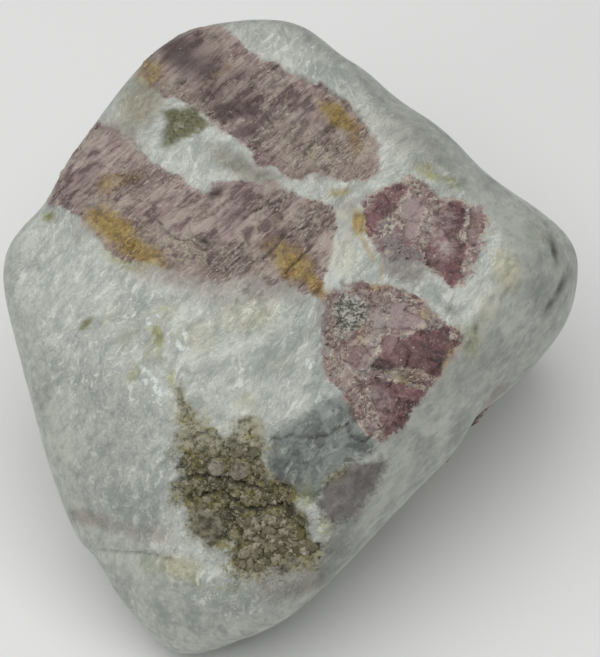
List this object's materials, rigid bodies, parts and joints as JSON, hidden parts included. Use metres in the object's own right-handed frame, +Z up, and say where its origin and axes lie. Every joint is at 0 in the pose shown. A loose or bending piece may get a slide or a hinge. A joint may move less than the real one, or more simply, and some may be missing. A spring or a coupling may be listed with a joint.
{
  "type": "pink tourmaline specimen",
  "caption": "Rough-tumbled hand specimen of pink tourmaline crystals grown through a grey-white bladed matrix, with soft-edged flats and a crumbly pocket in its front.",
  "frame": {"origin": "on the flat underside, below the stone's centre of mass", "axes": "+Z up, -Y towards the side that shows best, with the pocket in it, +X to that side's right"},
  "size_m": [0.067, 0.0727, 0.0406],
  "materials": {
    "stone": "satin, softly tumbled grey-white bladed matrix with dull rose and wine-red crystals, honey-orange stains and an olive-brown crumbly pocket"
  },
  "bodies": {
    "root": {"tourmaline_stone": "stone"}
  },
  "joints": []
}
